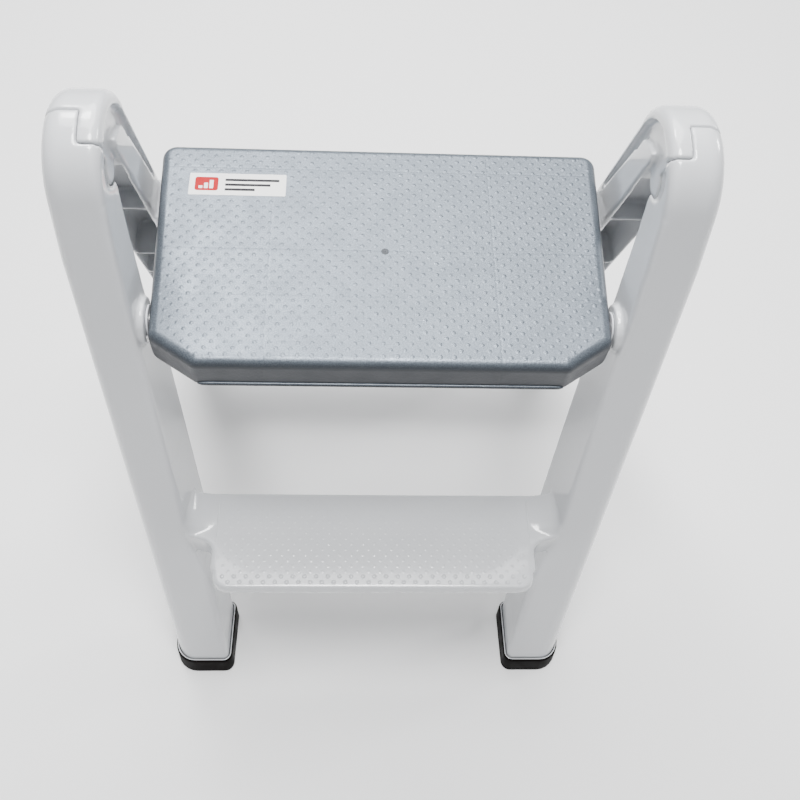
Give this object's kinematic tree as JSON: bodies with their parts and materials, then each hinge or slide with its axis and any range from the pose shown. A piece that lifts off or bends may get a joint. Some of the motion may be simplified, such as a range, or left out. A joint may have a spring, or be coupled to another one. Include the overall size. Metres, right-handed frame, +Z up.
{
  "type": "step stool",
  "caption": "Folding plastic step stool with a lower step moulded into the front frame, a pivoting top step, hinged rear frame and rubber shoes.",
  "frame": {"origin": "centre of the footprint, on the floor", "axes": "+Z up, +X to the user's right when facing the steps, -Y towards the user"},
  "size_m": [0.461, 0.471, 0.6],
  "materials": {
    "front_frame": "glossy",
    "rear_frame": "glossy",
    "top_step": "satin, textured",
    "shoe": "matte",
    "pin": "satin",
    "washer": "satin",
    "label": "satin"
  },
  "bodies": {
    "front": {"front_frame": "front_frame", "foot_front_right": "shoe", "foot_front_left": "shoe", "hinge_washer_right": "washer", "hinge_washer_left": "washer", "hinge_cap_right": "front_frame", "hinge_cap_left": "front_frame", "step_pivot_pin_right": "pin", "step_pivot_pin_left": "pin", "step_pivot_washer_right": "washer", "step_pivot_washer_left": "washer"},
    "rear": {"rear_frame": "rear_frame", "foot_rear_right": "shoe", "foot_rear_left": "shoe", "hinge_pin_right": "pin", "hinge_pin_left": "pin"},
    "step": {"top_step": "top_step", "step_catch_right": "washer", "step_catch_left": "washer", "label_plate": "label"}
  },
  "joints": [
    {"name": "rear_fold", "type": "hinge", "parent": "front", "child": "rear", "pos_m": [0, -0.02125, 0.548], "axis": [-1, 0, 0], "range_deg": [0, 34]},
    {"name": "step_fold", "type": "hinge", "parent": "front", "child": "step", "pos_m": [0, -0.08038, 0.447], "axis": [1, 0, 0], "range_deg": [0, 68]}
  ],
  "couplings": [
    {"joint": "step_fold", "follows": "rear_fold", "ratio": 2}
  ]
}
